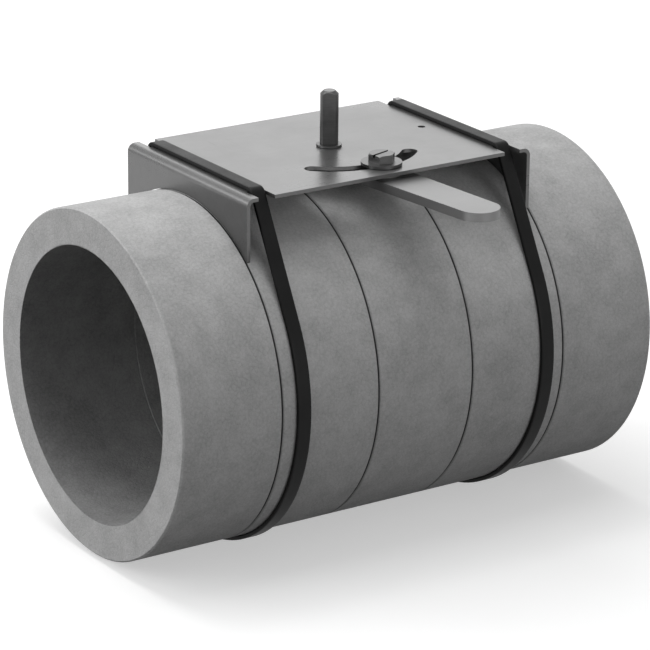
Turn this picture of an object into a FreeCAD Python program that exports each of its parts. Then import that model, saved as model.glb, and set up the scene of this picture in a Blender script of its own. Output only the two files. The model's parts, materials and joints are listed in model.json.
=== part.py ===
import FreeCAD, Part
import math
import os
import Sketcher
from FreeCAD import Rotation, Vector

# Insulated volume damper for a round duct, in millimetres.
# The origin is the centre of the inlet socket's mouth. +X runs along the duct from inlet
# to outlet, -Y points to the hand lever, +Z up along the shaft. The pieces are drawn about
# the point where the shaft's axis crosses the duct's axis, and then set half the damper's
# length along +X.

DIMENSIONS = [
    ("bore_radius", "75", "radius of the duct sockets"),
    ("foam_wall", "20", "wall of the foam shell"),
    ("centre_half", "30", "half length of the centre ring"),
    ("shoulder_length", "60", "length of a shoulder ring"),
    ("sleeve_length", "60", "length of an end sleeve that shows"),
    ("lap_length", "40", "length of a sleeve's tongue under its shoulder ring"),
    ("lap_thickness", "9", "wall of the tongue"),
    ("socket_depth", "72", "depth of a duct socket to its stop"),
    ("stop_step", "0.8", "height of the stop step"),
    ("joint_gap", "0.5", "gap between two foam pieces"),
    ("rim_chamfer", "0.8", "broken edge of the foam pieces"),
    ("tube_wall", "0.9", "sheet of the core tube"),
    ("fit_gap", "0.15", "gap round a part that is pushed into another"),
    ("face_gap", "0.3", "gap between faces that slide over each other"),
    ("running_gap", "0.05", "radial clearance of the shaft in its bushes"),
    ("shaft_radius", "5", "radius of the shaft"),
    ("shaft_rise", "31", "height of the shaft's top end above the bracket"),
    ("shaft_flat_depth", "1.1", "depth of the flat on the shaft"),
    ("shaft_chamfer", "1.8", "chamfer of the shaft's top end"),
    ("lever_angle", "5.5", "lever's angle from straight ahead, at rest"),
    ("blade_lead", "-45", "angle from the lever to the blade's normal"),
    ("blade_gap", "1.2", "gap between the blade's rim and the core tube"),
    ("blade_thickness", "1.5", "sheet of the blade"),
    ("saddle_height", "20", "width of a saddle strip along the shaft"),
    ("saddle_offset", "42", "height of a saddle's middle above the duct's axis"),
    ("saddle_sheet", "2", "sheet of the saddles"),
    ("saddle_half", "18", "half length of a saddle over its feet"),
    ("saddle_screw_pitch", "12.5", "distance of a saddle screw from the shaft's axis"),
    ("screw_radius", "2", "radius of the saddle screws"),
    ("screw_head_radius", "3.8", "radius of a saddle screw's head"),
    ("screw_head_height", "2.4", "height of a saddle screw's head"),
    ("screw_nut_flats", "7", "width across flats of the saddle nuts"),
    ("screw_nut_height", "3.2", "height of the saddle nuts"),
    ("screw_tail", "1.2", "screw that stands out of its nut"),
    ("bush_wall", "2.6", "wall of the two bushes in the core tube"),
    ("upper_bush_flange", "12", "radius of the upper bush's flange"),
    ("upper_bush_flange_height", "1.3", "thickness of the upper bush's flange"),
    ("blade_end_gap", "0.4", "gap between the blade's rim and a bush"),
    ("lower_bush_length", "12", "length of the lower bush"),
    ("lower_bush_floor", "2.5", "floor of the lower bush"),
    ("foot_gap", "0.2", "gap under the shaft's foot"),
    ("overshoot", "8", "length by which a cut runs past the face that it starts or ends at"),
    ("plate_rise", "13", "height of the bracket's top face above the foam"),
    ("sheet", "2", "sheet of the bracket"),
    ("plate_half_width", "60", "half width of the bracket across the duct"),
    ("bend_radius", "2.2", "inner radius of the bracket's folds"),
    ("bracket_bush_wall", "1.7", "wall of the bush in the bracket"),
    ("bracket_bush_flange", "9.5", "radius of that bush's flange"),
    ("bracket_bush_flange_height", "1.2", "thickness of that bush's flange"),
    ("slot_radius", "44", "radius of the arc slot's middle line"),
    ("slot_width", "8.6", "width of the arc slot"),
    ("slot_sweep", "45", "angle from straight ahead to the middle of the slot's end"),
    ("small_hole_radius", "2.1", "radius of the small hole"),
    ("small_hole_inset", "26.5", "distance of the small hole from the flange's outer face"),
    ("small_hole_across", "4", "place of the small hole across the duct"),
    ("strap_inset", "12", "distance of a strap's middle from the flange's outer face"),
    ("strap_width", "8", "width of a strap"),
    ("strap_thickness", "2.3", "thickness of a strap"),
    ("strap_bend", "3", "inner radius of a strap's bends over the bracket"),
    ("notch_depth", "12", "depth of the strap notches"),
    ("notch_side", "1", "gap beside a strap in its notch"),
    ("buckle_length", "24", "length of a buckle"),
    ("buckle_wall", "1.2", "side wall of a buckle"),
    ("buckle_back", "0.7", "plate of a buckle under the strap"),
    ("buckle_rise", "26", "buckle's middle above the point where the strap meets the foam"),
    ("lever_thickness", "5", "thickness of the lever"),
    ("lever_overhang", "73", "lever's length beyond the bracket's edge"),
    ("lever_hub_radius", "13", "radius of the lever's hub end"),
    ("lever_tip_radius", "11.3", "radius of the lever's half-round tip"),
    ("pad_height", "1.8", "height of the round pad on the lever"),
    ("pad_radius", "12", "radius of that pad"),
    ("clip_radius", "6.9", "outer radius of the shaft's retaining clip"),
    ("clip_thickness", "1", "thickness of that clip"),
    ("clip_groove", "0.7", "depth of its groove in the shaft"),
    ("clip_opening", "5", "width of the clip's open side"),
    ("bolt_radius", "3.95", "radius of the lock bolt"),
    ("bolt_head_flats", "13", "width across flats of the bolt's head"),
    ("bolt_head_height", "4.5", "height of the bolt's head"),
    ("bolt_slot_width", "1.6", "width of the screwdriver slot"),
    ("bolt_slot_depth", "1.6", "depth of the screwdriver slot"),
    ("bolt_turn", "12", "turn of the head at rest"),
    ("bolt_tail", "0.6", "bolt that stands out of its nut"),
    ("bolt_hole_gap", "0.35", "gap round the bolt in the lever"),
    ("washer_radius", "11", "radius of the lock washer"),
    ("washer_thickness", "1.6", "thickness of the lock washer"),
    ("lock_nut_radius", "6.5", "radius of the clinch nut's head under the lever"),
    ("lock_nut_height", "1.8", "height of that head"),
    ("lock_nut_collar", "5.4", "radius of the clinch nut's collar in the lever"),
]

doc = FreeCAD.newDocument("volume_damper")
sheet = doc.addObject("Spreadsheet::Sheet", "Dims")
for row, (alias, size, meaning) in enumerate(DIMENSIONS, start=1):
    sheet.set(f"A{row}", meaning)
    sheet.set(f"B{row}", size)
    sheet.setAlias(f"B{row}", alias)
doc.recompute()
ALIASES = {alias for alias, size, meaning in DIMENSIONS}


def d(text):
    """Turn a rule written with the sheet's aliases into an expression."""
    words = []
    word = ""
    for letter in text + " ":
        if letter.isalnum() or letter == "_":
            word += letter
            continue
        words.append(f"Dims.{word}" if word in ALIASES else word)
        words.append(letter)
        word = ""
    return "".join(words).strip()


def number(rule):
    """Value of a rule, as a plain number."""
    found = sheet.evalExpression(d(rule))
    return float(getattr(found, "Value", found))


# Heights and radii that several pieces share
SHELL_RADIUS = "(bore_radius + foam_wall)"
THROAT_RADIUS = "(bore_radius - stop_step)"
TUBE_OUTER = f"({THROAT_RADIUS} + tube_wall)"
SHOULDER_END = "(centre_half + shoulder_length)"
SHELL_END = f"({SHOULDER_END} + sleeve_length)"
TONGUE_END = f"({SHOULDER_END} - lap_length)"
TONGUE_RADIUS = "(bore_radius + lap_thickness)"
CORE_POCKET_RADIUS = f"({TUBE_OUTER} + fit_gap)"
BUSH_BORE = "(shaft_radius + running_gap)"
BUSH_RADIUS = "(shaft_radius + bush_wall)"
BUSH_HOLE = f"({BUSH_RADIUS} + fit_gap)"
PLATE_TOP = f"({SHELL_RADIUS} + plate_rise)"
PLATE_UNDER = f"({PLATE_TOP} - sheet)"
FLANGE_FACE = SHOULDER_END
STRAP_MIDDLE = f"({FLANGE_FACE} - strap_inset)"
SHAFT_TOP = f"({PLATE_TOP} + shaft_rise)"
LEVER_TOP = f"({PLATE_UNDER} - face_gap - pad_height)"
LEVER_UNDER = f"({LEVER_TOP} - lever_thickness)"
WASHER_UNDER = f"({PLATE_TOP} + face_gap)"
HEAD_UNDER = f"({WASHER_UNDER} + washer_thickness)"
NUT_UNDER = f"({LEVER_UNDER} - lock_nut_height)"
BLADE_FACE = "(shaft_radius + running_gap)"
BLADE_RADIUS = f"({THROAT_RADIUS} - blade_gap)"
BUSH_END = f"({BLADE_RADIUS} + blade_end_gap)"
LOWER_BUSH_UNDER = f"(0 - {BUSH_END} - lower_bush_length)"
LOWER_BUSH_FLOOR = f"({LOWER_BUSH_UNDER} + lower_bush_floor)"
BRACKET_BUSH_RADIUS = "(shaft_radius + bracket_bush_wall)"
FOLD_OUTER = "(bend_radius + sheet)"
CLIP_UNDER = f"({PLATE_TOP} + face_gap)"
BLADE_ANGLE = "(lever_angle + blade_lead)"

# A strap's line in the plane across the duct
STRAP_SEAT = f"({PLATE_TOP} + fit_gap)"
STRAP_CORNER_Y = "(plate_half_width - notch_depth - running_gap)"
STRAP_CORNER_Z = f"({STRAP_SEAT} - strap_bend)"
STRAP_LOOP = f"({SHELL_RADIUS} + fit_gap)"
STRAP_REACH = f"sqrt({STRAP_CORNER_Y}^2 + {STRAP_CORNER_Z}^2)"
STRAP_TURN = f"(atan({STRAP_CORNER_Y} / {STRAP_CORNER_Z}) + acos(({STRAP_LOOP} - strap_bend) / {STRAP_REACH}))"


def new_body(label):
    body = doc.addObject("PartDesign::Body", label)
    body.Label = label
    return body


def new_sketch(body, name, plane, height="0"):
    """Empty sketch on one of the body's own planes, lifted along the plane's normal."""
    sketch = body.newObject("Sketcher::SketchObject", f"{body.Name}_{name}")
    support = [feature for feature in body.Origin.OriginFeatures if feature.Role == plane][0]
    sketch.AttachmentSupport = [(support, "")]
    sketch.MapMode = "FlatFace"
    if height != "0":
        sketch.setExpression("AttachmentOffset.Base.z", d(height))
    return sketch


def bind(sketch, kind, geometry, corner, rule):
    """Tie one coordinate of a sketch point to a rule."""
    axis = -2 if kind == "DistanceX" else -1
    if rule == "0":
        sketch.addConstraint(Sketcher.Constraint("PointOnObject", geometry, corner, axis))
        return
    index = sketch.addConstraint(Sketcher.Constraint(kind, -1, 1, geometry, corner, number(rule)))
    sketch.setExpression(f"Constraints[{index}]", d(rule))


def outline(sketch, points, arcs=None):
    """Closed outline. points are pairs of rules. arcs maps an edge's number to the pair of
    rules of its centre and +1 for a left turn or -1 for a right turn."""
    arcs = arcs or {}
    spots = [Vector(number(across), number(up), 0) for across, up in points]
    first = sketch.GeometryCount
    total = len(points)
    ends = []
    for index, start in enumerate(spots):
        finish = spots[(index + 1) % total]
        if index not in arcs:
            sketch.addGeometry(Part.LineSegment(start, finish), False)
            ends.append((1, 2))
            continue
        across, up, turn = arcs[index]
        middle = Vector(number(across), number(up), 0)
        low, high = (start, finish) if turn > 0 else (finish, start)
        angles = [math.atan2(spot.y - middle.y, spot.x - middle.x) for spot in (low, high)]
        circle = Part.Circle(middle, Vector(0, 0, 1), (start - middle).Length)
        sketch.addGeometry(Part.ArcOfCircle(circle, angles[0], angles[1]), False)
        ends.append((1, 2) if turn > 0 else (2, 1))
    for index in range(total):
        before = (index - 1) % total
        sketch.addConstraint(
            Sketcher.Constraint("Coincident", first + before, ends[before][1], first + index, ends[index][0])
        )
        bind(sketch, "DistanceX", first + index, ends[index][0], points[index][0])
        bind(sketch, "DistanceY", first + index, ends[index][0], points[index][1])
    for index, (across, up, turn) in arcs.items():
        chord = spots[(index + 1) % total] - spots[index]
        if abs(chord.x) > abs(chord.y):
            bind(sketch, "DistanceY", first + index, 3, up)
        else:
            bind(sketch, "DistanceX", first + index, 3, across)


def circle(sketch, across, up, radius):
    geometry = sketch.addGeometry(
        Part.Circle(Vector(number(across), number(up), 0), Vector(0, 0, 1), number(radius)), False
    )
    bind(sketch, "DistanceX", geometry, 3, across)
    bind(sketch, "DistanceY", geometry, 3, up)
    index = sketch.addConstraint(Sketcher.Constraint("Radius", geometry, number(radius)))
    sketch.setExpression(f"Constraints[{index}]", d(radius))


def rectangle(sketch, left, right, low, high):
    outline(sketch, [(left, low), (right, low), (right, high), (left, high)])


def hexagon(sketch, across, up, flats, spin=0):
    """Hexagon round a point; spin turns it, in degrees."""
    corners = []
    for side in range(6):
        angle = 60 * side + 30 + spin
        corners.append(
            (
                f"{across} + {flats} / 2 / cos(30) * cos({angle})",
                f"{up} + {flats} / 2 / cos(30) * sin({angle})",
            )
        )
    outline(sketch, corners)


def pad(body, sketch, length):
    feature = body.newObject("PartDesign::Pad", f"{sketch.Name}_pad")
    feature.Profile = sketch
    feature.setExpression("Length", d(length))
    doc.recompute()
    return feature


def pocket(body, sketch, depth):
    """Cut against the sketch's normal, and make sure that it took something away."""
    before = body.Shape.Volume
    feature = body.newObject("PartDesign::Pocket", f"{sketch.Name}_pocket")
    feature.Profile = sketch
    feature.setExpression("Length", d(depth))
    doc.recompute()
    if not body.Shape.Volume < before:
        raise RuntimeError(f"{sketch.Name} cuts nothing")
    return feature


def turned(label, points, axis, arcs=None):
    """Body turned from an outline in the XZ plane, about X (H_Axis) or Z (V_Axis)."""
    body = new_body(label)
    sketch = new_sketch(body, "profile", "XZ_Plane")
    outline(sketch, points, arcs)
    feature = body.newObject("PartDesign::Revolution", f"{label}_turned")
    feature.Profile = sketch
    feature.ReferenceAxis = (sketch, [axis])
    feature.Angle = 360
    doc.recompute()
    return place(body)


def bored(body, points):
    """Turn an outline in the XZ plane out of a body, about Z."""
    before = body.Shape.Volume
    sketch = new_sketch(body, f"bore{len(body.Group)}", "XZ_Plane")
    outline(sketch, points)
    feature = body.newObject("PartDesign::Groove", f"{sketch.Name}_groove")
    feature.Profile = sketch
    feature.ReferenceAxis = (sketch, ["V_Axis"])
    feature.Angle = 360
    doc.recompute()
    if not body.Shape.Volume < before:
        raise RuntimeError(f"{sketch.Name} cuts nothing")


def place(body, along="0", across=None, up=None, angle=None, axis=Vector(0, 0, 1)):
    """Set a body in the damper's frame: half the shell's length along +X, and turned about
    its own axis. Rules left out stay at zero."""
    body.setExpression("Placement.Base.x", d(f"{SHELL_END} + {along}"))
    if across:
        body.setExpression("Placement.Base.y", d(across))
    if up:
        body.setExpression("Placement.Base.z", d(up))
    if angle:
        body.Placement.Rotation = Rotation(axis, number(angle))
        body.setExpression("Placement.Rotation.Angle", d(angle))
    return body


# Foam shell


def make_sleeve(label, side):
    """End sleeve: duct socket with a stop step, and a tongue under the shoulder ring."""
    end = f"{side} * {SHELL_END}"
    shoulder = f"{side} * ({SHOULDER_END} + joint_gap / 2)"
    tongue = f"{side} * ({TONGUE_END} + joint_gap / 2)"
    stop = f"{side} * ({SHELL_END} - socket_depth)"
    points = [
        (end, "bore_radius"),
        (end, f"{SHELL_RADIUS} - rim_chamfer"),
        (f"{side} * ({SHELL_END} - rim_chamfer)", SHELL_RADIUS),
        (f"{side} * ({SHOULDER_END} + joint_gap / 2 + rim_chamfer)", SHELL_RADIUS),
        (shoulder, f"{SHELL_RADIUS} - rim_chamfer"),
        (shoulder, TONGUE_RADIUS),
        (tongue, TONGUE_RADIUS),
        (tongue, THROAT_RADIUS),
        (stop, THROAT_RADIUS),
        (stop, "bore_radius"),
    ]
    return turned(label, points, "H_Axis")


def make_shoulder_ring(label, side):
    """Ring that laps over the sleeve's tongue and over the core tube's end."""
    outer = f"{side} * ({SHOULDER_END} - joint_gap / 2)"
    inner = f"{side} * (centre_half + joint_gap / 2)"
    step = f"{side} * ({TONGUE_END} - joint_gap / 2)"
    points = [
        (outer, f"{TONGUE_RADIUS} + fit_gap"),
        (outer, f"{SHELL_RADIUS} - rim_chamfer"),
        (f"{side} * ({SHOULDER_END} - joint_gap / 2 - rim_chamfer)", SHELL_RADIUS),
        (f"{side} * (centre_half + joint_gap / 2 + rim_chamfer)", SHELL_RADIUS),
        (inner, f"{SHELL_RADIUS} - rim_chamfer"),
        (inner, CORE_POCKET_RADIUS),
        (step, CORE_POCKET_RADIUS),
        (step, f"{TONGUE_RADIUS} + fit_gap"),
    ]
    return turned(label, points, "H_Axis")


def make_centre_ring():
    """Middle ring, with the shaft's hole above and the lower bush's pocket below."""
    half = "(centre_half - joint_gap / 2)"
    points = [
        (f"0 - {half}", CORE_POCKET_RADIUS),
        (f"0 - {half}", f"{SHELL_RADIUS} - rim_chamfer"),
        (f"rim_chamfer - {half}", SHELL_RADIUS),
        (f"{half} - rim_chamfer", SHELL_RADIUS),
        (half, f"{SHELL_RADIUS} - rim_chamfer"),
        (half, CORE_POCKET_RADIUS),
    ]
    body = turned("centre_ring", points, "H_Axis")
    sketch = new_sketch(body, "shaft_hole", "XY_Plane", f"{SHELL_RADIUS} + overshoot")
    circle(sketch, "0", "0", BUSH_HOLE)
    pocket(body, sketch, "foam_wall + 2 * overshoot")
    sketch = new_sketch(body, "foot_pocket", "XY_Plane", f"0 - {THROAT_RADIUS}")
    circle(sketch, "0", "0", BUSH_HOLE)
    pocket(body, sketch, f"joint_gap - {THROAT_RADIUS} - {LOWER_BUSH_UNDER}")
    return body


def make_core_tube():
    """Sheet tube held between the two tongues, with a hole for each bush."""
    half = f"({TONGUE_END} - joint_gap)"
    points = [
        (f"0 - {half}", THROAT_RADIUS),
        (f"0 - {half}", TUBE_OUTER),
        (half, TUBE_OUTER),
        (half, THROAT_RADIUS),
    ]
    body = turned("core_tube", points, "H_Axis")
    for name, top in (("upper_hole", f"{TUBE_OUTER} + overshoot"), ("lower_hole", f"overshoot - {THROAT_RADIUS}")):
        sketch = new_sketch(body, name, "XY_Plane", top)
        circle(sketch, "0", "0", BUSH_HOLE)
        pocket(body, sketch, "2 * overshoot")
    return body


# Bushes, shaft and blade


def make_upper_bush():
    """Flanged bush from the duct through the core tube and the foam."""
    flange = f"({SHELL_RADIUS} + joint_gap)"
    points = [
        (BUSH_BORE, BUSH_END),
        (BUSH_RADIUS, BUSH_END),
        (BUSH_RADIUS, flange),
        ("upper_bush_flange", flange),
        ("upper_bush_flange", f"{flange} + upper_bush_flange_height"),
        (BUSH_BORE, f"{flange} + upper_bush_flange_height"),
    ]
    return turned("upper_bush", points, "V_Axis")


def make_lower_bush():
    """Blind bush that carries the shaft's foot."""
    points = [
        ("0", LOWER_BUSH_UNDER),
        (BUSH_RADIUS, LOWER_BUSH_UNDER),
        (BUSH_RADIUS, f"0 - {BUSH_END}"),
        (BUSH_BORE, f"0 - {BUSH_END}"),
        (BUSH_BORE, LOWER_BUSH_FLOOR),
        ("0", LOWER_BUSH_FLOOR),
    ]
    return turned("lower_bush", points, "V_Axis")


def make_bracket_bush():
    """Bush in the bracket, flush with its top face and flanged under it."""
    under = f"({PLATE_UNDER} - bracket_bush_flange_height)"
    points = [
        (BUSH_BORE, under),
        ("bracket_bush_flange", under),
        ("bracket_bush_flange", PLATE_UNDER),
        (BRACKET_BUSH_RADIUS, PLATE_UNDER),
        (BRACKET_BUSH_RADIUS, PLATE_TOP),
        (BUSH_BORE, PLATE_TOP),
    ]
    return turned("bracket_bush", points, "V_Axis")


def make_shaft():
    """Round shaft, flat from the lever upwards, with the clip's groove and a chamfered end."""
    low = f"({LOWER_BUSH_FLOOR} + foot_gap)"
    groove = "(shaft_radius - clip_groove)"
    points = [
        ("0", low),
        (groove, low),
        ("shaft_radius", f"{low} + clip_groove"),
        ("shaft_radius", CLIP_UNDER),
        (groove, CLIP_UNDER),
        (groove, f"{CLIP_UNDER} + clip_thickness + running_gap"),
        ("shaft_radius", f"{CLIP_UNDER} + clip_thickness + running_gap"),
        ("shaft_radius", f"{SHAFT_TOP} - shaft_chamfer"),
        ("shaft_radius - shaft_chamfer", SHAFT_TOP),
        ("0", SHAFT_TOP),
    ]
    body = turned("shaft", points, "V_Axis")
    sketch = new_sketch(body, "flat", "XY_Plane", f"{SHAFT_TOP} + overshoot")
    clear = "(shaft_radius + overshoot)"
    rectangle(sketch, f"0 - {clear}", clear, f"0 - {clear}", "shaft_flat_depth - shaft_radius")
    pocket(body, sketch, f"{SHAFT_TOP} + overshoot - {LEVER_UNDER}")
    return place(body, angle=BLADE_ANGLE)


def saddle_screw_places():
    """Screw axes in the blade's own plane: across the shaft, and along it."""
    return [
        (f"{side} * saddle_screw_pitch", f"{end} * saddle_offset")
        for end in (1, -1)
        for side in (1, -1)
    ]


def make_blade():
    """Round disc that lies against the shaft, with its screw holes."""
    body = new_body("blade")
    sketch = new_sketch(body, "disc", "XZ_Plane", BLADE_FACE)
    circle(sketch, "0", "0", BLADE_RADIUS)
    for across, up in saddle_screw_places():
        circle(sketch, across, up, "screw_radius + fit_gap")
    pad(body, sketch, "blade_thickness")
    return place(body, angle=BLADE_ANGLE)


def make_saddle(label, side):
    """Bent strip over the shaft whose two feet lie on the blade."""
    body = new_body(label)
    seat = f"(0 - {BLADE_FACE})"
    foot = f"(saddle_sheet - {BLADE_FACE})"
    crown = f"({BUSH_BORE} + saddle_sheet)"
    sketch = new_sketch(body, "strip", "XY_Plane", f"{side} * saddle_offset - saddle_height / 2")
    points = [
        ("saddle_half", seat),
        ("saddle_half", foot),
        (crown, foot),
        (crown, "0"),
        (f"0 - {crown}", "0"),
        (f"0 - {crown}", foot),
        ("0 - saddle_half", foot),
        ("0 - saddle_half", seat),
        (f"0 - {BUSH_BORE}", seat),
        (f"0 - {BUSH_BORE}", "0"),
        (BUSH_BORE, "0"),
        (BUSH_BORE, seat),
    ]
    outline(sketch, points, {3: ("0", "0", 1), 9: ("0", "0", -1)})
    pad(body, sketch, "saddle_height")
    holes = new_sketch(body, "holes", "XZ_Plane", f"{BLADE_FACE} + saddle_sheet")
    for across, up in saddle_screw_places():
        if up.startswith(f"{side} "):
            circle(holes, across, up, "screw_radius + fit_gap")
    pocket(body, holes, f"{BLADE_FACE} + saddle_sheet + overshoot")
    return place(body, angle=BLADE_ANGLE)


def make_saddle_screws():
    """Four pan-head screws through blade and saddle feet."""
    face = f"({BLADE_FACE} + blade_thickness)"
    tail = "(blade_thickness + saddle_sheet + screw_nut_height + screw_tail)"
    solids = []
    for across, up in saddle_screw_places():
        head = doc.addObject("Part::Cylinder", "screw_head")
        shank = doc.addObject("Part::Cylinder", "screw_shank")
        for solid, radius, height, start in (
            (head, "screw_head_radius", "screw_head_height", face),
            (shank, "screw_radius", f"{tail} + running_gap", f"{face} - {tail}"),
        ):
            solid.setExpression("Radius", d(radius))
            solid.setExpression("Height", d(height))
            solid.Placement.Rotation = Rotation(Vector(1, 0, 0), 90)
            solid.setExpression("Placement.Base.x", d(across))
            solid.setExpression("Placement.Base.y", d(f"0 - ({start})"))
            solid.setExpression("Placement.Base.z", d(up))
        solids.append(fuse_pair(head, shank))
    return gather("saddle_screws", solids)


def fuse_pair(first, second):
    joined = doc.addObject("Part::Fuse", "joined")
    joined.Base = first
    joined.Tool = second
    return joined


def gather(label, solids):
    """Group of separate solids in one node, turned with the blade."""
    group = doc.addObject("Part::Compound", label)
    group.Label = label
    group.Links = solids
    return place(group, angle=BLADE_ANGLE)


def make_saddle_nuts():
    """Four hexagon nuts on the saddle feet."""
    solids = []
    for across, up in saddle_screw_places():
        nut = doc.addObject("Part::Prism", "nut_blank")
        nut.Polygon = 6
        nut.setExpression("Circumradius", d("screw_nut_flats / 2 / cos(30)"))
        nut.setExpression("Height", d("screw_nut_height"))
        hole = doc.addObject("Part::Cylinder", "nut_hole")
        hole.setExpression("Radius", d("screw_radius + running_gap"))
        hole.setExpression("Height", d("screw_nut_height"))
        cut = doc.addObject("Part::Cut", "nut")
        cut.Base = nut
        cut.Tool = hole
        cut.Placement.Rotation = Rotation(Vector(1, 0, 0), 90)
        cut.setExpression("Placement.Base.x", d(across))
        cut.setExpression("Placement.Base.y", d(f"saddle_sheet + screw_nut_height - {BLADE_FACE}"))
        cut.setExpression("Placement.Base.z", d(up))
        solids.append(cut)
    return gather("saddle_nuts", solids)


# Bracket and straps


def make_bracket():
    """One folded sheet: top plate, two folds and two flanges that sit on the foam."""
    body = new_body("bracket")
    sketch = new_sketch(body, "fold", "XZ_Plane", "0 - plate_half_width")
    inner_face = f"({FLANGE_FACE} - sheet)"
    fold_x = f"({inner_face} - bend_radius)"
    fold_z = f"({PLATE_UNDER} - bend_radius)"
    points = [
        (f"0 - {FLANGE_FACE}", "0"),
        (f"0 - {inner_face}", "0"),
        (f"0 - {inner_face}", fold_z),
        (f"0 - {fold_x}", PLATE_UNDER),
        (fold_x, PLATE_UNDER),
        (inner_face, fold_z),
        (inner_face, "0"),
        (FLANGE_FACE, "0"),
        (FLANGE_FACE, fold_z),
        (fold_x, PLATE_TOP),
        (f"0 - {fold_x}", PLATE_TOP),
        (f"0 - {FLANGE_FACE}", fold_z),
    ]
    arcs = {
        2: (f"0 - {fold_x}", fold_z, -1),
        4: (fold_x, fold_z, -1),
        8: (fold_x, fold_z, 1),
        10: (f"0 - {fold_x}", fold_z, 1),
    }
    outline(sketch, points, arcs)
    pad(body, sketch, "2 * plate_half_width")
    saddle = new_sketch(body, "saddle", "YZ_Plane", f"{FLANGE_FACE} + overshoot")
    circle(saddle, "0", "0", f"{SHELL_RADIUS} + face_gap")
    pocket(body, saddle, f"2 * ({FLANGE_FACE} + overshoot)")
    cuts = new_sketch(body, "cuts", "XY_Plane", f"{PLATE_TOP} + overshoot")
    circle(cuts, "0", "0", f"{BRACKET_BUSH_RADIUS} + fit_gap")
    circle(cuts, f"{FLANGE_FACE} - small_hole_inset", "small_hole_across", "small_hole_radius")
    arc_slot(cuts)
    near = f"({STRAP_MIDDLE} - strap_width / 2 - notch_side)"
    wide = f"({STRAP_MIDDLE} + strap_width / 2 + notch_side)"
    inside = "(plate_half_width - notch_depth)"
    outside = "(plate_half_width + overshoot)"
    rectangle(cuts, near, wide, inside, outside)
    rectangle(cuts, near, wide, f"0 - {outside}", f"0 - {inside}")
    rectangle(cuts, f"0 - {wide}", f"0 - {near}", inside, outside)
    rectangle(cuts, f"0 - {wide}", f"0 - {near}", f"0 - {outside}", f"0 - {inside}")
    pocket(body, cuts, f"overshoot + {FOLD_OUTER}")
    return place(body)


def arc_slot(sketch):
    """Slot round the shaft's axis, with half-round ends."""
    outer = "(slot_radius + slot_width / 2)"
    inner = "(slot_radius - slot_width / 2)"
    along = "sin(slot_sweep)"
    ahead = "cos(slot_sweep)"
    points = [
        (f"0 - {outer} * {along}", f"0 - {outer} * {ahead}"),
        (f"{outer} * {along}", f"0 - {outer} * {ahead}"),
        (f"{inner} * {along}", f"0 - {inner} * {ahead}"),
        (f"0 - {inner} * {along}", f"0 - {inner} * {ahead}"),
    ]
    arcs = {
        0: ("0", "0", 1),
        1: (f"slot_radius * {along}", f"0 - slot_radius * {ahead}", 1),
        2: ("0", "0", -1),
        3: (f"0 - slot_radius * {along}", f"0 - slot_radius * {ahead}", 1),
    }
    outline(sketch, points, arcs)


def strap_line(sketch, offset):
    """The strap's closed line across the duct, moved out by an offset."""
    bend = f"(strap_bend + {offset})"
    loop = f"({STRAP_LOOP} + {offset})"
    top = f"{STRAP_CORNER_Z} + {bend}"
    bend_y = f"({STRAP_CORNER_Y} + {bend} * sin({STRAP_TURN}))"
    bend_z = f"{STRAP_CORNER_Z} + {bend} * cos({STRAP_TURN})"
    loop_y = f"({loop} * sin({STRAP_TURN}))"
    loop_z = f"{loop} * cos({STRAP_TURN})"
    points = [
        (STRAP_CORNER_Y, top),
        (f"0 - {STRAP_CORNER_Y}", top),
        (f"0 - {bend_y}", bend_z),
        (f"0 - {loop_y}", loop_z),
        (loop_y, loop_z),
        (bend_y, bend_z),
    ]
    arcs = {
        1: (f"0 - {STRAP_CORNER_Y}", STRAP_CORNER_Z, 1),
        3: ("0", "0", 1),
        5: (STRAP_CORNER_Y, STRAP_CORNER_Z, 1),
    }
    outline(sketch, points, arcs)


def make_strap(label, side):
    """Flat band over the bracket and round the foam."""
    body = new_body(label)
    sketch = new_sketch(body, "band", "YZ_Plane", f"{side} * {STRAP_MIDDLE} - strap_width / 2")
    strap_line(sketch, "strap_thickness")
    strap_line(sketch, "0")
    pad(body, sketch, "strap_width")
    return place(body)


def make_buckle(label, side):
    """Buckle on the strap's straight run at the back, where the band's ends meet."""
    body = new_body(label)
    half_window = "(strap_width / 2 + fit_gap)"
    window_top = "(strap_thickness + fit_gap)"
    half = f"({half_window} + buckle_wall)"
    under = "(0 - fit_gap - buckle_back)"
    sketch = new_sketch(body, "frame", "XZ_Plane", "0 - buckle_length / 2")
    points = [
        (f"0 - {half}", under),
        (half, under),
        (half, window_top),
        (f"{half} - buckle_wall", f"{window_top} + buckle_wall"),
        (f"buckle_wall - {half}", f"{window_top} + buckle_wall"),
        (f"0 - {half}", window_top),
    ]
    outline(sketch, points)
    rectangle(sketch, f"0 - {half_window}", half_window, "0 - fit_gap", window_top)
    pad(body, sketch, "buckle_length")
    return place(
        body,
        along=f"{side} * {STRAP_MIDDLE}",
        across=f"{STRAP_LOOP} * sin({STRAP_TURN}) - buckle_rise * cos({STRAP_TURN})",
        up=f"{STRAP_LOOP} * cos({STRAP_TURN}) + buckle_rise * sin({STRAP_TURN})",
        angle=STRAP_TURN,
        axis=Vector(-1, 0, 0),
    )


# Lever and lock


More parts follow.
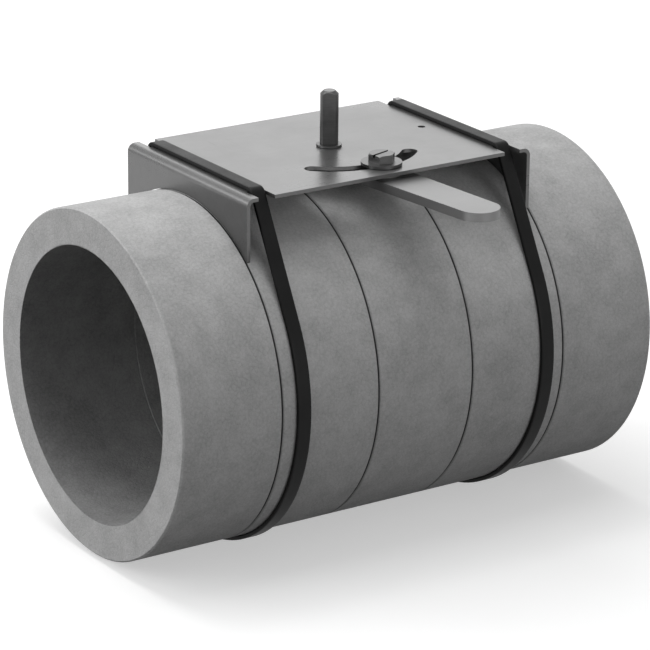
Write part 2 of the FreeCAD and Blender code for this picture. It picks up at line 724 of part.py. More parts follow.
def make_lever():
    """Tapered flat lever, round at both ends, with a pad that slides under the bracket."""
    body = new_body("lever")
    sketch = new_sketch(body, "blank", "XY_Plane", LEVER_UNDER)
    tip = "(plate_half_width + lever_overhang - lever_tip_radius)"
    lean = f"asin((lever_hub_radius - lever_tip_radius) / {tip})"
    points = [
        (f"0 - lever_hub_radius * cos({lean})", f"0 - lever_hub_radius * sin({lean})"),
        (f"0 - lever_tip_radius * cos({lean})", f"0 - {tip} - lever_tip_radius * sin({lean})"),
        (f"lever_tip_radius * cos({lean})", f"0 - {tip} - lever_tip_radius * sin({lean})"),
        (f"lever_hub_radius * cos({lean})", f"0 - lever_hub_radius * sin({lean})"),
    ]
    outline(sketch, points, {1: ("0", f"0 - {tip}", 1), 3: ("0", "0", 1)})
    pad(body, sketch, "lever_thickness")
    raised = new_sketch(body, "pad", "XY_Plane", LEVER_TOP)
    circle(raised, "0", "0 - slot_radius", "pad_radius")
    pad(body, raised, "pad_height")
    bolt_hole = new_sketch(body, "bolt_hole", "XY_Plane", f"{LEVER_TOP} + overshoot")
    circle(bolt_hole, "0", "0 - slot_radius", "bolt_radius + bolt_hole_gap")
    pocket(body, bolt_hole, "lever_thickness + 2 * overshoot")
    nut_hole = new_sketch(body, "nut_hole", "XY_Plane", LEVER_TOP)
    circle(nut_hole, "0", "0 - slot_radius", "lock_nut_collar + running_gap")
    pocket(body, nut_hole, "lever_thickness + overshoot")
    shaft_hole = new_sketch(body, "shaft_hole", "XY_Plane", f"{LEVER_TOP} + overshoot")
    radius = "(shaft_radius + running_gap)"
    depth = "(shaft_radius - shaft_flat_depth + running_gap)"
    chord = f"sqrt({radius}^2 - {depth}^2)"
    ahead = "cos(blade_lead)"
    along = "sin(blade_lead)"
    points = [
        (f"{along} * {depth} + {ahead} * {chord}", f"{along} * {chord} - {ahead} * {depth}"),
        (f"{along} * {depth} - {ahead} * {chord}", f"0 - {along} * {chord} - {ahead} * {depth}"),
    ]
    outline(shaft_hole, points, {0: ("0", "0", 1)})
    pocket(body, shaft_hole, "lever_thickness + 2 * overshoot")
    return place(body, angle="lever_angle")


def make_shaft_clip():
    """Open ring in the shaft's groove, which keeps the shaft from sinking through the bracket."""
    inside = "(shaft_radius - clip_groove + running_gap)"
    points = [
        (inside, CLIP_UNDER),
        ("clip_radius", CLIP_UNDER),
        ("clip_radius", f"{CLIP_UNDER} + clip_thickness"),
        (inside, f"{CLIP_UNDER} + clip_thickness"),
    ]
    body = turned("shaft_clip", points, "V_Axis")
    sketch = new_sketch(body, "mouth", "XY_Plane", f"{CLIP_UNDER} + overshoot")
    rectangle(sketch, "0 - clip_opening / 2", "clip_opening / 2", "0", "clip_radius + overshoot")
    pocket(body, sketch, "2 * overshoot")
    return place(body, angle="lever_angle")


def make_lock_bolt():
    """Hexagon-head bolt with a screwdriver slot, on its own axis."""
    body = new_body("lock_bolt")
    head = new_sketch(body, "head", "XY_Plane", HEAD_UNDER)
    hexagon(head, "0", "0", "bolt_head_flats")
    pad(body, head, "bolt_head_height")
    crown = f"({HEAD_UNDER} + bolt_head_height)"
    outside = "(bolt_head_flats / 2 / cos(30) + overshoot)"
    bored(
        body,
        [
            ("bolt_head_flats / 2", crown),
            (outside, crown),
            (outside, f"{crown} - ({outside} - bolt_head_flats / 2) * tan(30)"),
        ],
    )
    shank = new_sketch(body, "shank", "XY_Plane", f"{NUT_UNDER} - bolt_tail")
    circle(shank, "0", "0", "bolt_radius")
    pad(body, shank, f"{HEAD_UNDER} - {NUT_UNDER} + bolt_tail")
    slot = new_sketch(body, "slot", "XY_Plane", f"{crown} + overshoot")
    rectangle(
        slot, "0 - bolt_head_flats", "bolt_head_flats", "0 - bolt_slot_width / 2", "bolt_slot_width / 2"
    )
    pocket(body, slot, "overshoot + bolt_slot_depth")
    return set_on_lever(body, "lever_angle + bolt_turn")


def set_on_lever(body, angle):
    """Put a body that was drawn about the Z axis on the lock bolt's axis."""
    return place(
        body,
        along="slot_radius * sin(lever_angle)",
        across="0 - slot_radius * cos(lever_angle)",
        angle=angle,
    )


def make_lock_washer():
    points = [
        ("bolt_radius + running_gap", WASHER_UNDER),
        ("washer_radius", WASHER_UNDER),
        ("washer_radius", f"{WASHER_UNDER} + washer_thickness"),
        ("bolt_radius + running_gap", f"{WASHER_UNDER} + washer_thickness"),
    ]
    return set_on_lever(turned("lock_washer", points, "V_Axis"), "lever_angle")


def make_lock_nut():
    """Clinch nut: a collar in the lever and a flat head against its underside."""
    points = [
        ("bolt_radius + running_gap", NUT_UNDER),
        ("lock_nut_radius", NUT_UNDER),
        ("lock_nut_radius", LEVER_UNDER),
        ("lock_nut_collar", LEVER_UNDER),
        ("lock_nut_collar", f"{LEVER_TOP} - running_gap"),
        ("bolt_radius + running_gap", f"{LEVER_TOP} - running_gap"),
    ]
    return set_on_lever(turned("lock_nut", points, "V_Axis"), "lever_angle")


SIDES = (("inlet", -1), ("outlet", 1))
nodes = []
for port, side in SIDES:
    nodes.append(make_sleeve(f"{port}_sleeve", side))
    nodes.append(make_shoulder_ring(f"{port}_shoulder_ring", side))
    nodes.append(make_strap(f"{port}_strap", side))
    nodes.append(make_buckle(f"{port}_buckle", side))
nodes.append(make_centre_ring())
nodes.append(make_core_tube())
nodes.append(make_upper_bush())
nodes.append(make_lower_bush())
nodes.append(make_bracket_bush())
nodes.append(make_bracket())
nodes.append(make_shaft())
nodes.append(make_blade())
nodes.append(make_saddle("upper_saddle", 1))
nodes.append(make_saddle("lower_saddle", -1))
nodes.append(make_saddle_screws())
nodes.append(make_saddle_nuts())
nodes.append(make_lever())
nodes.append(make_shaft_clip())
nodes.append(make_lock_bolt())
nodes.append(make_lock_washer())
nodes.append(make_lock_nut())
doc.recompute()

for thing in doc.Objects:
    if "Invalid" in thing.State or "Error" in thing.State:
        raise RuntimeError(f"{thing.Name} failed: {thing.State}")
for node in nodes:
    if node.Shape.isNull() or not node.Shape.isValid():
        raise RuntimeError(f"{node.Label} has no valid shape")

os.makedirs("parts", exist_ok=True)
for node in nodes:
    node.Shape.exportStep(f"parts/{node.Label}.step")
    print(f"{node.Label}: {len(node.Shape.Solids)} solid(s), {node.Shape.Volume:.0f} mm3")
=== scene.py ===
import json
import math

import bmesh
import bpy
from mathutils import Matrix, Vector

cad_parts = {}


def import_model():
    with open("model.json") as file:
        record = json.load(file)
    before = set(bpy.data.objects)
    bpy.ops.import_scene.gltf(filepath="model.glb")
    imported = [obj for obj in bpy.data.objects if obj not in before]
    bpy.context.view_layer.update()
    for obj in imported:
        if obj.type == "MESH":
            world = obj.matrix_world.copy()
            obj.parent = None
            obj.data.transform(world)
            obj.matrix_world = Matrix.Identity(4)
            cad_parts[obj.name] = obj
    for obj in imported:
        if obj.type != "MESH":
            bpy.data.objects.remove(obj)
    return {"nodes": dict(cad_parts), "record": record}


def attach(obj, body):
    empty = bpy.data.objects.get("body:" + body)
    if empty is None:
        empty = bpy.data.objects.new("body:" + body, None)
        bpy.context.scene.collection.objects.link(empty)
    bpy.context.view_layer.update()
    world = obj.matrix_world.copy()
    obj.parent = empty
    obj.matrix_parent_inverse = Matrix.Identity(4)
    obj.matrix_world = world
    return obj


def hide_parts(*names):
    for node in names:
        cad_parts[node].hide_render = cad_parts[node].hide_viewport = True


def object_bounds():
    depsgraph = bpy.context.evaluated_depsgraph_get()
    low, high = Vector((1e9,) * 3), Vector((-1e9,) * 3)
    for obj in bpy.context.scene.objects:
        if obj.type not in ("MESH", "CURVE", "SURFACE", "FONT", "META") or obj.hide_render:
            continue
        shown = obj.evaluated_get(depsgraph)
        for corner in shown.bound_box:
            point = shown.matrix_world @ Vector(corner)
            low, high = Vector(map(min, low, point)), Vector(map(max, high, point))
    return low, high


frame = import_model()
cad_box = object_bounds()

MM = 0.001
BODY_OF = {node: body for body, nodes in frame["record"]["behaviour"]["bodies"].items() for node in nodes}
SLOT_OF = {part["node"]: part["material_slot"] for part in frame["record"]["subparts"]}


class Value:
    """A socket of a node tree; sums, differences and products of values add Math nodes."""

    def __init__(self, shader, socket):
        self.shader = shader
        self.socket = socket

    def __add__(self, other):
        return self.shader.maths("ADD", self, other)

    def __sub__(self, other):
        return self.shader.maths("SUBTRACT", self, other)

    def __rsub__(self, other):
        return self.shader.maths("SUBTRACT", other, self)

    def __mul__(self, other):
        return self.shader.maths("MULTIPLY", self, other)

    def __abs__(self):
        return self.shader.maths("ABSOLUTE", self)

    __radd__ = __add__
    __rmul__ = __mul__

    def swing(self, amount):
        """How far the value is above or below its middle of 0.5, times amount."""
        return (self - 0.5) * amount

    def step(self, low, high):
        """0 below low and 1 above high, with a smooth change between them."""
        settings = {"interpolation_type": "SMOOTHSTEP"}
        return self.shader.node("MapRange", settings, {"Value": self, "From Min": low, "From Max": high})


def grey(level):
    """A grey as the four numbers that a colour socket takes."""
    return (level, level, level, 1.0)


class Shader:
    """The nodes of a material or of the world, built node by node."""

    def __init__(self, owner):
        owner.use_nodes = True
        self.tree = owner.node_tree
        self.tree.nodes.clear()

    def node(self, kind, settings, sockets, output=0):
        """Adds a node: its settings first, then the values or links of its sockets."""
        made = self.tree.nodes.new("ShaderNode" + kind)
        for setting, value in settings.items():
            setattr(made, setting, value)
        for socket, value in sockets.items():
            if isinstance(value, Value):
                self.tree.links.new(value.socket, made.inputs[socket])
            else:
                made.inputs[socket].default_value = value
        return Value(self, made.outputs[output]) if len(made.outputs) else None

    def maths(self, operation, *values):
        """A Math node on values and numbers."""
        return self.node("Math", {"operation": operation}, dict(enumerate(values)))

    def extreme(self, operation, values):
        """The least or the greatest of the values, by MINIMUM or MAXIMUM."""
        found, *others = values
        for value in others:
            found = self.maths(operation, found, value)
        return found

    def mixed(self, share, first, second):
        """From the first colour to the second as share goes from 0 to 1."""
        return self.node("Mix", {"data_type": "RGBA"}, {0: share, 6: first, 7: second}, 2)

    def toned(self, share, dark, light):
        """From a dark grey to a light one as share goes from 0 to 1."""
        return self.mixed(share, grey(dark), grey(light))

    def seen(self):
        """1 for what the camera sees, also in gloss and through glass, and 0 for light thrown on the object."""
        kinds = ("Is Camera Ray", "Is Glossy Ray", "Is Transmission Ray")
        return self.extreme("MAXIMUM", [self.node("LightPath", {}, {}, kind) for kind in kinds])


class Finish(Shader):
    """One material; its patterns follow the place on the piece, in metres."""

    def __init__(self, name):
        self.material = bpy.data.materials.new(name)
        super().__init__(self.material)
        self.place = self.node("TexCoord", {}, {}, "Object")

    def scaled(self, x, y, z):
        """The place, multiplied along each axis."""
        return self.node("VectorMath", {"operation": "MULTIPLY"}, {0: self.place, 1: (x, y, z)})

    def first_of(self, vector):
        """The first of the three numbers of a vector or a colour."""
        return self.node("SeparateXYZ", {}, {"Vector": vector}, "X")

    def noise(self, scale, detail=2.0, roughness=0.5, at=None):
        sockets = {"Vector": at or self.place, "Scale": scale, "Detail": detail, "Roughness": roughness}
        return self.node("TexNoise", {}, sockets)

    def cells(self, scale, feature="F1", output="Distance"):
        return self.node("TexVoronoi", {"feature": feature}, {"Vector": self.place, "Scale": scale}, output)

    def bump(self, height, depth, strength):
        """A normal from a height of 0 to 1, where 1 stands depth millimetres above 0."""
        return self.node("Bump", {}, {"Height": height, "Distance": depth * MM, "Strength": strength})

    def surface(self, sockets):
        shader = self.node("BsdfPrincipled", {}, sockets)
        self.node("OutputMaterial", {}, {"Surface": shader})
        return self.material


# Bead foam, in millimetres: where its rings meet along the duct, how far from there the dark line starts to fade
# and ends, how far from the duct's axis the bore's painted shade starts to give way to the skin's tone and ends,
# and the depth of its relief. The beads are counted along a metre, and the tones run from dark to light; the
# bore's tones are painted shade, the same foam darkened where little light gets into the bore
RING_JOINTS = (60, 120, 180, 240)
JOINT_LINE = (0.30, 0.75)
BORE_SHADE_EDGE = (75.1, 75.6)
FOAM_RELIEF = 0.16
BEADS = 430
SKIN_TONES = (0.28, 0.60)
# The bore's tones are painted shade: the same foam, darker where little light reaches
BORE_PAINTED_SHADE_TONES = (0.14, 0.38)
JOINT_TONE = 0.07
# How much of a mirror zinc-coated sheet is: its level top shines, and its upright sides stay dark
SHEET_MIRROR = 0.65


def bead_foam():
    """Moulded bead foam: packed beads, fine gaps and open pores, a dark line where two rings meet, and painted
    shade that darkens the bore.
    """
    f = Finish("bead_foam")
    wander = f.noise(90)
    gaps = 1 - f.cells(BEADS, "DISTANCE_TO_EDGE").step(0.0, 0.14)
    pores = f.noise(1500, 3.0, 0.65).step(0.56, 0.70)
    speckle = f.noise(620, 2.0, 0.6)
    cloud = f.noise(34, 3.0, 0.55)
    mottle = speckle.swing(0.40) + cloud.swing(0.36) + wander.swing(0.36)
    shade = (mottle - gaps * 0.08 - pores * 0.14 + 0.58).step(0.0, 1.0)
    along = f.first_of(f.place)
    from_joint = f.extreme("MINIMUM", [abs(along - at * MM) for at in RING_JOINTS])
    joint = 1 - from_joint.step(*(edge * MM for edge in JOINT_LINE))
    skin = f.mixed(joint, f.toned(shade, *SKIN_TONES), grey(JOINT_TONE))
    # Painted shade: inside the bore the foam takes the darker tones
    from_axis = f.node("VectorMath", {"operation": "LENGTH"}, {0: f.scaled(0, 1, 1)}, "Value")
    outside = from_axis.step(*(edge * MM for edge in BORE_SHADE_EDGE))
    return f.surface({
        "Base Color": f.mixed(outside, f.toned(shade, *BORE_PAINTED_SHADE_TONES), skin),
        "Roughness": 0.92,
        "Specular IOR Level": 0.25,
        "Normal": f.bump(speckle * 0.5 - gaps * 0.55 - pores * 0.5 - f.cells(BEADS) * 0.3, FOAM_RELIEF, 0.6),
    })


def sheet_steel(name, dark, light, rough, grain, spangle=0.0):
    """Cold-formed zinc-coated sheet: fine rolling grain, faint zinc crystals and handling marks."""
    f = Finish(name)
    rolled = f.noise(1.0, 3.0, 0.6, f.scaled(60, 1900, 1900))
    crystals = f.first_of(f.cells(210, "F1", "Color"))
    cloud = f.noise(22, 3.0, 0.6)
    marks = f.noise(1.0, 2.0, 0.5, f.scaled(900, 40, 400)).step(0.68, 0.80)
    shade = rolled.swing(grain) + crystals.swing(spangle) + cloud.swing(0.35) - marks * 0.12 + 0.5
    return f.surface({
        "Base Color": f.toned(shade.step(-0.1, 1.1), dark, light),
        "Metallic": SHEET_MIRROR,
        "Roughness": rolled.swing(0.10) + cloud.swing(0.16) + marks * 0.08 + rough,
        "Normal": f.bump(rolled, 0.02, 0.5),
    })


def turned_steel(name, dark, light, rough):
    """Drawn and turned bar: rings round the shaft's axis and a little handling wear."""
    f = Finish(name)
    rings = f.noise(1.0, 3.0, 0.6, f.scaled(120, 120, 3200))
    cloud = f.noise(120, 3.0, 0.6)
    shade = rings.swing(0.5) + cloud.swing(0.6) + 0.5
    return f.surface({
        "Base Color": f.toned(shade.step(0.0, 1.0), dark, light),
        "Metallic": 1.0,
        "Roughness": cloud.swing(0.2) + rings.swing(0.1) + rough,
        "Normal": f.bump(rings, 0.015, 0.5),
    })


def moulded_nylon(name, level, rough, shine=0.5):
    """Moulded nylon: a finely grained skin with slightly shinier rubbed places."""
    f = Finish(name)
    grain = f.noise(1400, 3.0, 0.6)
    rub = f.noise(70, 3.0, 0.6)
    return f.surface({
        "Base Color": f.toned(rub.step(0.3, 0.75), level * 0.75, level * 1.3),
        "Roughness": grain.swing(0.18) + rub.swing(0.2) + rough,
        "Specular IOR Level": shine,
        "Normal": f.bump(grain, 0.03, 0.6),
    })


FINISHES = {
    "foam": bead_foam(),
    "galvanised_inner": sheet_steel("galvanised_tube", 0.38, 0.58, rough=0.42, grain=0.25, spangle=0.22),
    "bracket_steel": sheet_steel("bracket_sheet", 0.105, 0.155, rough=0.31, grain=0.35, spangle=0.12),
    "lever_steel": sheet_steel("lever_plate", 0.15, 0.21, rough=0.36, grain=0.30),
    "shaft_steel": turned_steel("shaft_bar", 0.065, 0.125, rough=0.34),
    "fastener_steel": turned_steel("zinc_fasteners", 0.07, 0.12, rough=0.34),
    "clip_steel": turned_steel("black_spring_steel", 0.08, 0.14, rough=0.40),
    "bush_plastic": moulded_nylon("bush_nylon", 0.06, rough=0.50),
    "strap_plastic": moulded_nylon("strap_nylon", 0.007, rough=0.45, shine=0.12),
    "buckle_plastic": moulded_nylon("buckle_nylon", 0.035, rough=0.50),
}

for node, piece in frame["nodes"].items():
    piece.data.materials.clear()
    piece.data.materials.append(FINISHES[SLOT_OF[node]])

# How far each piece's sharp edges are rounded, in millimetres
EDGE_ROUNDING = {
    "bracket": 0.25,
    "bracket_bush": 0.25,
    "lever": 0.35,
    "lock_washer": 0.25,
    "lock_bolt": 0.30,
    "lock_nut": 0.30,
    "shaft": 0.20,
    "shaft_clip": 0.20,
    "upper_bush": 0.25,
    "upper_saddle": 0.35,
    "lower_saddle": 0.35,
    "saddle_nuts": 0.35,
    "blade": 0.30,
    "core_tube": 0.20,
    "inlet_buckle": 0.35,
    "outlet_buckle": 0.35,
}
SHARP_EDGE = math.radians(40)
CREASE = math.radians(35)


def round_edges(piece, width):
    """Rounds a piece's sharp edges as tumbling, pressing or moulding leaves them."""
    edge = piece.modifiers.new("rounded edges", "BEVEL")
    edge.width = width * MM
    edge.segments = 2
    edge.limit_method = "ANGLE"
    edge.angle_limit = SHARP_EDGE
    edge.harden_normals = True


for node, width in EDGE_ROUNDING.items():
    round_edges(frame["nodes"][node], width)


def add_piece(name, bm, node, replaced=True):
    """A piece on the body and in the finish of a CAD node, which it may stand for."""
    bmesh.ops.recalc_face_normals(bm, faces=bm.faces)
    mesh = bpy.data.meshes.new(name)
    bm.to_mesh(mesh)
    bm.free()
    mesh.shade_smooth()
    mesh.set_sharp_from_angle(angle=CREASE)
    made = bpy.data.objects.new(name, mesh)
    bpy.context.scene.collection.objects.link(made)
    made.data.materials.append(FINISHES[SLOT_OF[node]])
    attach(made, BODY_OF[node])
    if replaced:
        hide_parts(node)


def join_loops(bm, loops, closed=False):
    """Quads between each loop of vertices and the next."""
    pairs = list(zip(loops, loops[1:]))
    if closed:
        pairs.append((loops[-1], loops[0]))
    for first, second in pairs:
        for i in range(len(first)):
            j = (i + 1) % len(first)
            bm.faces.new((first[i], first[j], second[j], second[i]))


# The band's inner line across the duct, in millimetres: level on the bracket, round a bend at each of its edges,
# straight down to the foam, and round it. A turn is an angle about the duct's axis, from straight up and over
# the lever's side
STRAP_MIDDLES = {"inlet": 72.0, "outlet": 228.0}
STRAP_SEAT = 108.15
STRAP_BEND = 3.0
STRAP_LOOP = 95.15
CORNER_Y = 47.95
CORNER_Z = STRAP_SEAT - STRAP_BEND
CORNER_TURN = math.atan2(CORNER_Y, CORNER_Z)
STRAP_TURN = CORNER_TURN + math.acos((STRAP_LOOP - STRAP_BEND) / math.hypot(CORNER_Y, CORNER_Z))
BACK_TURN = 2 * math.pi - STRAP_TURN
BEND_STEPS = 6
LOOP_STEPS = 80
# The band's section: half its width, its height, its rounded corners, and the half width and slope of its teeth
STRAP_HALF = 4.0
STRAP_HEIGHT = 2.28
STRAP_CORNER = 0.45
CORNER_CUT = 0.3 * STRAP_CORNER
TEETH_HALF = 2.7
TEETH_SLOPE = 0.2
# Ratchet teeth on the end of the loop and on the run to the buckle: places along one tooth, each with its depth
TOOTH_PITCH = 1.6
TOOTH = ((0.05, 0.45), (1.2, 0.0), (TOOTH_PITCH - 0.05, 0.0))
TEETH_ON_LOOP = 24
TEETH_ON_RUN = 9


def outward(turn):
    """The direction away from the duct's axis."""
    return Vector((0.0, -math.sin(turn), math.cos(turn)))


def onward(turn):
    """The direction round the duct, square to outward."""
    return Vector((0.0, -math.cos(turn), -math.sin(turn)))


def strap_stations():
    """Stations along the band's inner line: the place, the outward direction and the tooth's depth there."""
    stations = [(Vector((0, y, STRAP_SEAT)), outward(0), 0.0) for y in (CORNER_Y, -CORNER_Y)]
    front = Vector((0, -CORNER_Y, CORNER_Z))
    back = Vector((0, CORNER_Y, CORNER_Z))
    for step in range(1, BEND_STEPS + 1):
        turn = STRAP_TURN * step / BEND_STEPS
        stations.append((front + outward(turn) * STRAP_BEND, outward(turn), 0.0))
    first_tooth = BACK_TURN - TEETH_ON_LOOP * TOOTH_PITCH / STRAP_LOOP
    for step in range(LOOP_STEPS + 1):
        turn = STRAP_TURN + (first_tooth - STRAP_TURN) * step / LOOP_STEPS
        stations.append((outward(turn) * STRAP_LOOP, outward(turn), 0.0))
    for tooth in range(TEETH_ON_LOOP):
        for along, depth in TOOTH:
            turn = first_tooth + tooth * TOOTH_PITCH / STRAP_LOOP + along / STRAP_LOOP
            stations.append((outward(turn) * STRAP_LOOP, outward(turn), depth))
    run = outward(BACK_TURN) * STRAP_LOOP
    for tooth in range(TEETH_ON_RUN):
        for along, depth in TOOTH:
            place = run + onward(BACK_TURN) * (along + tooth * TOOTH_PITCH)
            stations.append((place, outward(BACK_TURN), depth))
    for step in range(BEND_STEPS):
        turn = BACK_TURN + STRAP_TURN * step / BEND_STEPS
        stations.append((back + outward(turn) * STRAP_BEND, outward(turn), 0.0))
    return stations


def band_section(depth):
    """The band's outline as widths and heights, with its toothed channel sunk by depth."""
    right = [
        (STRAP_HALF - STRAP_CORNER, 0.0),
        (STRAP_HALF, STRAP_CORNER),
        (STRAP_HALF, STRAP_HEIGHT - STRAP_CORNER),
        (STRAP_HALF - CORNER_CUT, STRAP_HEIGHT - CORNER_CUT),
        (STRAP_HALF - STRAP_CORNER, STRAP_HEIGHT),
        (TEETH_HALF, STRAP_HEIGHT),
        (TEETH_HALF - TEETH_SLOPE, STRAP_HEIGHT - depth),
    ]
    return right + [(-across, height) for across, height in reversed(right)]


def strap_band(port):
    """Moulded band: rounded edges, a plain face, and ratchet teeth where its end goes into the buckle."""
    bm = bmesh.new()
    loops = []
    for place, out, depth in strap_stations():
        middle = Vector((STRAP_MIDDLES[port], 0, 0)) + place
        loops.append([
            bm.verts.new((middle + Vector((across, 0, 0)) + out * height) * MM)
            for across, height in band_section(depth)
        ])
    join_loops(bm, loops, closed=True)
    add_piece(f"{port}_band", bm, f"{port}_strap")


# The buckle's middle on the band's run, the top of its roof, and its grips: their places on the roof, and the
# half length, the half width and the height over the roof of each of their layers
BUCKLE_RISE = 26.0
BUCKLE_ROOF = 3.65
GRIP_PLACES = (-7.5, -5.0, -2.5, 0.0, 2.5, 5.0, 7.5)
GRIP_LAYERS = ((3.3, 0.75, -0.3), (3.3, 0.75, 0.25), (3.1, 0.5, 0.5))


def buckle_grips(port):
    """Raised cross ribs on the buckle's roof, for the thumb."""
    bm = bmesh.new()
    out, on = outward(BACK_TURN), onward(BACK_TURN)
    base = Vector((STRAP_MIDDLES[port], 0, 0)) + out * STRAP_LOOP + on * BUCKLE_RISE
    for at in GRIP_PLACES:
        loops = []
        for half, thick, rise in GRIP_LAYERS:
            corners = [(-half, -thick), (half, -thick), (half, thick), (-half, thick)]
            up = out * (BUCKLE_ROOF + rise)
            loops.append([
                bm.verts.new((base + Vector((across, 0, 0)) + on * (at + along) + up) * MM)
                for across, along in corners
            ])
        join_loops(bm, loops)
        bm.faces.new(loops[-1])
        bm.faces.new(loops[0])
    add_piece(f"{port}_buckle_grips", bm, f"{port}_buckle", replaced=False)


# The blade at rest, and the screws that hold its saddles, in millimetres: the head as radii and heights
DUCT_MIDDLE = 150.0
BLADE_TURN = math.radians(-39.5)
BLADE_FACE = 5.05
BLADE_SHEET = 1.5
SCREWS_ACROSS = (-12.5, 12.5)
SCREWS_UP = (-42.0, 42.0)
SCREW_HEAD = ((3.8, 0.0), (3.8, 1.05), (3.55, 1.6), (3.1, 2.0), (2.4, 2.3), (1.95, 2.4))
SCREW_RADIUS = 2.0
SCREW_TAIL = 7.85
TAIL_POINT = 1.4
TAIL_STEP = 0.05
PLAIN_SHANK = 0.3
THREAD_ROOT = 1.72
THREAD_PITCH = 0.7
THREAD_CREST = (0.4, 0.55)
RECESS_ARM = 1.55
RECESS_HALF = 0.42
RECESS_DEPTH = 1.3
RECESS_TAPER = 0.6
ROUND_STEPS = 32


def screw_profile():
    """The screw from its tail up to the head's top, as radii and heights."""
    profile = [(TAIL_POINT, -SCREW_TAIL - TAIL_STEP)]
    height = -SCREW_TAIL
    while height < -THREAD_PITCH:
        profile.append((THREAD_ROOT, height))
        profile += [(SCREW_RADIUS, height + THREAD_PITCH * share) for share in THREAD_CREST]
        height += THREAD_PITCH
    return profile + [(SCREW_RADIUS, -PLAIN_SHANK), (SCREW_RADIUS, 0.0), *SCREW_HEAD]


def screw(bm, across, up):
    """Pan-head screw with a cross recess; its thread shows where it stands out of its nut."""
    turn = Matrix.Rotation(BLADE_TURN, 4, "Z")
    seat = Vector((across, -BLADE_FACE - BLADE_SHEET, up))

    def vertex(x, z, height):
        return bm.verts.new((turn @ (seat + Vector((x, -height, z))) + Vector((DUCT_MIDDLE, 0, 0))) * MM)

    def ring(radius, height):
        angles = [2 * math.pi * step / ROUND_STEPS for step in range(ROUND_STEPS)]
        return [vertex(radius * math.cos(angle), radius * math.sin(angle), height) for angle in angles]

    loops = [ring(radius, height) for radius, height in screw_profile()]
    join_loops(bm, loops)
    bm.faces.new(loops[0])
    arm, half = RECESS_ARM, RECESS_HALF
    cross = [
        (arm, -half), (arm, half), (half, half), (half, arm), (-half, arm), (-half, half),
        (-arm, half), (-arm, -half), (-half, -half), (-half, -arm), (half, -arm), (half, -half),
    ]
    top = SCREW_HEAD[-1][1]
    mouth = [vertex(x, z, top) for x, z in cross]
    bottom = [vertex(x * RECESS_TAPER, z * RECESS_TAPER, top - RECESS_DEPTH) for x, z in cross]
    join_loops(bm, [mouth, bottom])
    bm.faces.new(bottom)
    edges = [bm.edges.get((loop[i - 1], loop[i])) for loop in (loops[-1], mouth) for i in range(len(loop))]
    bmesh.ops.triangle_fill(bm, use_beauty=True, edges=edges)


def saddle_screws():
    """The four screws that clamp the blade between its saddles."""
    bm = bmesh.new()
    for across in SCREWS_ACROSS:
        for up in SCREWS_UP:
            screw(bm, across, up)
    add_piece("cross_head_screws", bm, "saddle_screws")


for port in STRAP_MIDDLES:
    strap_band(port)
    buckle_grips(port)
saddle_screws()

# The studio. Levels of the floor and the world are reflectances and strengths, of which 1 is white
FLOOR = cad_box[0].z
FLOOR_RADIUS = 9.0
FLOOR_DIM = 0.06
FLOOR_SEEN = 0.70
FLOOR_GLOW = 0.45
WORLD_LIGHT = 0.28
TARGET = Vector((0.150, 0.0, 0.0))
# Each softbox: its place and the side of its square in metres, and what it gives a white surface that faces it
SOFTBOXES = {
    "key": ((-0.10, 0.90, 2.00), 1.3, 0.36),
    "top": ((0.15, 0.0, 2.20), 1.4, 0.25),
    "side": ((-1.60, 0.30, 0.60), 0.9, 0.30),
    "left back": ((-1.60, 1.60, 1.20), 1.2, 0.24),
    "front": ((0.50, -2.30, 0.25), 1.2, 0.22),
    "back": ((1.30, 1.75, 1.00), 1.3, 0.10),
}
# The camera: its place in metres, its turn from straight along +Y, its dip and its roll, and its lens
CAMERA_PLACE = Vector((-0.86505, -1.52158, 0.64584))
CAMERA_TURN = math.radians(33.67)
CAMERA_DIP = math.radians(19.285)
CAMERA_ROLL = math.radians(0.553)
CAMERA_LENS = 196.22


def floor_finish():
    """White to the camera and in reflections, and dim where it would throw light up at the object."""
    f = Finish("floor")
    seen = f.seen()
    return f.surface({
        "Base Color": f.toned(seen, FLOOR_DIM, FLOOR_SEEN),
        "Emission Color": f.toned(seen, 0.0, FLOOR_GLOW),
        "Emission Strength": 1.0,
        "Roughness": 0.95,
        "Specular IOR Level": 0.0,
    })


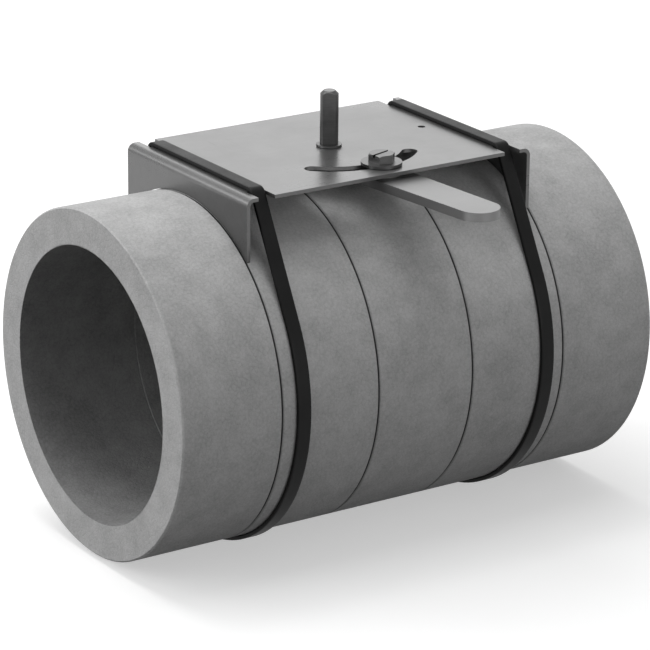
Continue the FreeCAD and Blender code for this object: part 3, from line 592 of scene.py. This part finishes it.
def floor():
    place = (TARGET.x, TARGET.y, FLOOR)
    bpy.ops.mesh.primitive_circle_add(vertices=96, radius=FLOOR_RADIUS, fill_type="NGON", location=place)
    made = bpy.context.object
    made.name = "floor"
    made.data.materials.append(floor_finish())


def world():
    """White where it is seen, and a dim, even light on the object."""
    made = bpy.data.worlds.new("studio")
    sky = Shader(made)
    strength = sky.seen() * (1.0 - WORLD_LIGHT) + WORLD_LIGHT
    background = sky.node("Background", {}, {"Color": grey(1.0), "Strength": strength})
    sky.node("OutputWorld", {}, {"Surface": background})
    bpy.context.scene.world = made


def softbox(name, place, size, level):
    """A square lamp aimed at the damper's middle."""
    lamp = bpy.data.lights.new(name, "AREA")
    lamp.size = size
    lamp.energy = level * math.pi ** 2 * (place - TARGET).length_squared
    made = bpy.data.objects.new(name, lamp)
    made.location = place
    made.rotation_euler = (TARGET - place).to_track_quat("-Z", "Y").to_euler()
    bpy.context.scene.collection.objects.link(made)


def camera():
    """At the photograph's viewing angle."""
    level_right = Vector((math.cos(CAMERA_TURN), -math.sin(CAMERA_TURN), 0.0))
    ahead = Vector((
        math.sin(CAMERA_TURN) * math.cos(CAMERA_DIP),
        math.cos(CAMERA_TURN) * math.cos(CAMERA_DIP),
        -math.sin(CAMERA_DIP),
    ))
    level_up = level_right.cross(ahead)
    right = level_right * math.cos(CAMERA_ROLL) + level_up * math.sin(CAMERA_ROLL)
    up = level_up * math.cos(CAMERA_ROLL) - level_right * math.sin(CAMERA_ROLL)
    lens = bpy.data.cameras.new("camera")
    lens.lens = CAMERA_LENS
    lens.sensor_width = 36.0
    lens.clip_start = 0.05
    lens.clip_end = 50.0
    made = bpy.data.objects.new("camera", lens)
    made.matrix_world = Matrix.Translation(CAMERA_PLACE) @ Matrix((right, up, -ahead)).transposed().to_4x4()
    bpy.context.scene.collection.objects.link(made)
    bpy.context.scene.camera = made


floor()
world()
for name, (place, size, level) in SOFTBOXES.items():
    softbox(name, Vector(place), size, level)
camera()
bpy.context.scene.view_settings.view_transform = "Standard"
